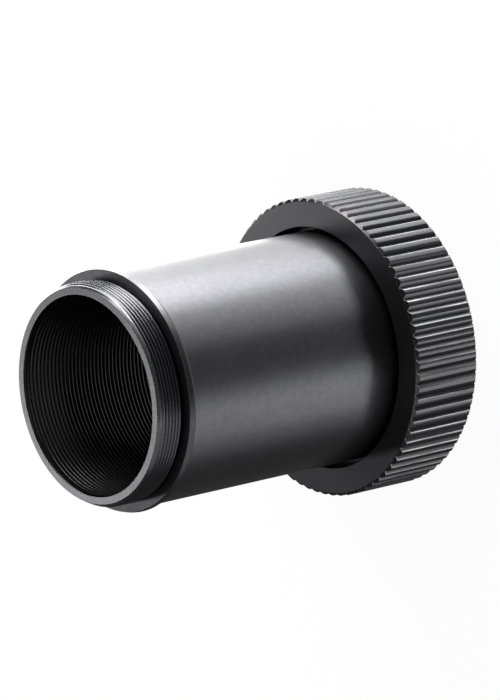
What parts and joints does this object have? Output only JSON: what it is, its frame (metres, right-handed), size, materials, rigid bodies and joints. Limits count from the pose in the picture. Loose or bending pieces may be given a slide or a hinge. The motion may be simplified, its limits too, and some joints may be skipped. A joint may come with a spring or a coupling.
{
  "type": "t-adapter",
  "caption": "Turned barrel with a male camera thread at its front and a loose knurled slip ring that clamps its rear flange to a telescope; light passes through its open bore.",
  "frame": {"origin": "on the optical axis, in the plane of the slip ring's rear face, on which the adapter stands", "axes": "+Z along the optical axis from the telescope end to the camera end"},
  "size_m": [0.0574, 0.0574, 0.0711],
  "materials": {
    "gunmetal_anodised": "satin gunmetal anodised tube, matt black bore",
    "black_anodised": "black anodised, turned face and knurled edge"
  },
  "bodies": {
    "barrel": {"barrel": "gunmetal_anodised"},
    "slip_ring": {"slip_ring": "black_anodised"}
  },
  "joints": [
    {"name": "ring_spin", "type": "hinge", "parent": "barrel", "child": "slip_ring", "pos_m": [0, 0, 0.0075], "axis": [0, 0, 1], "continuous": true}
  ]
}
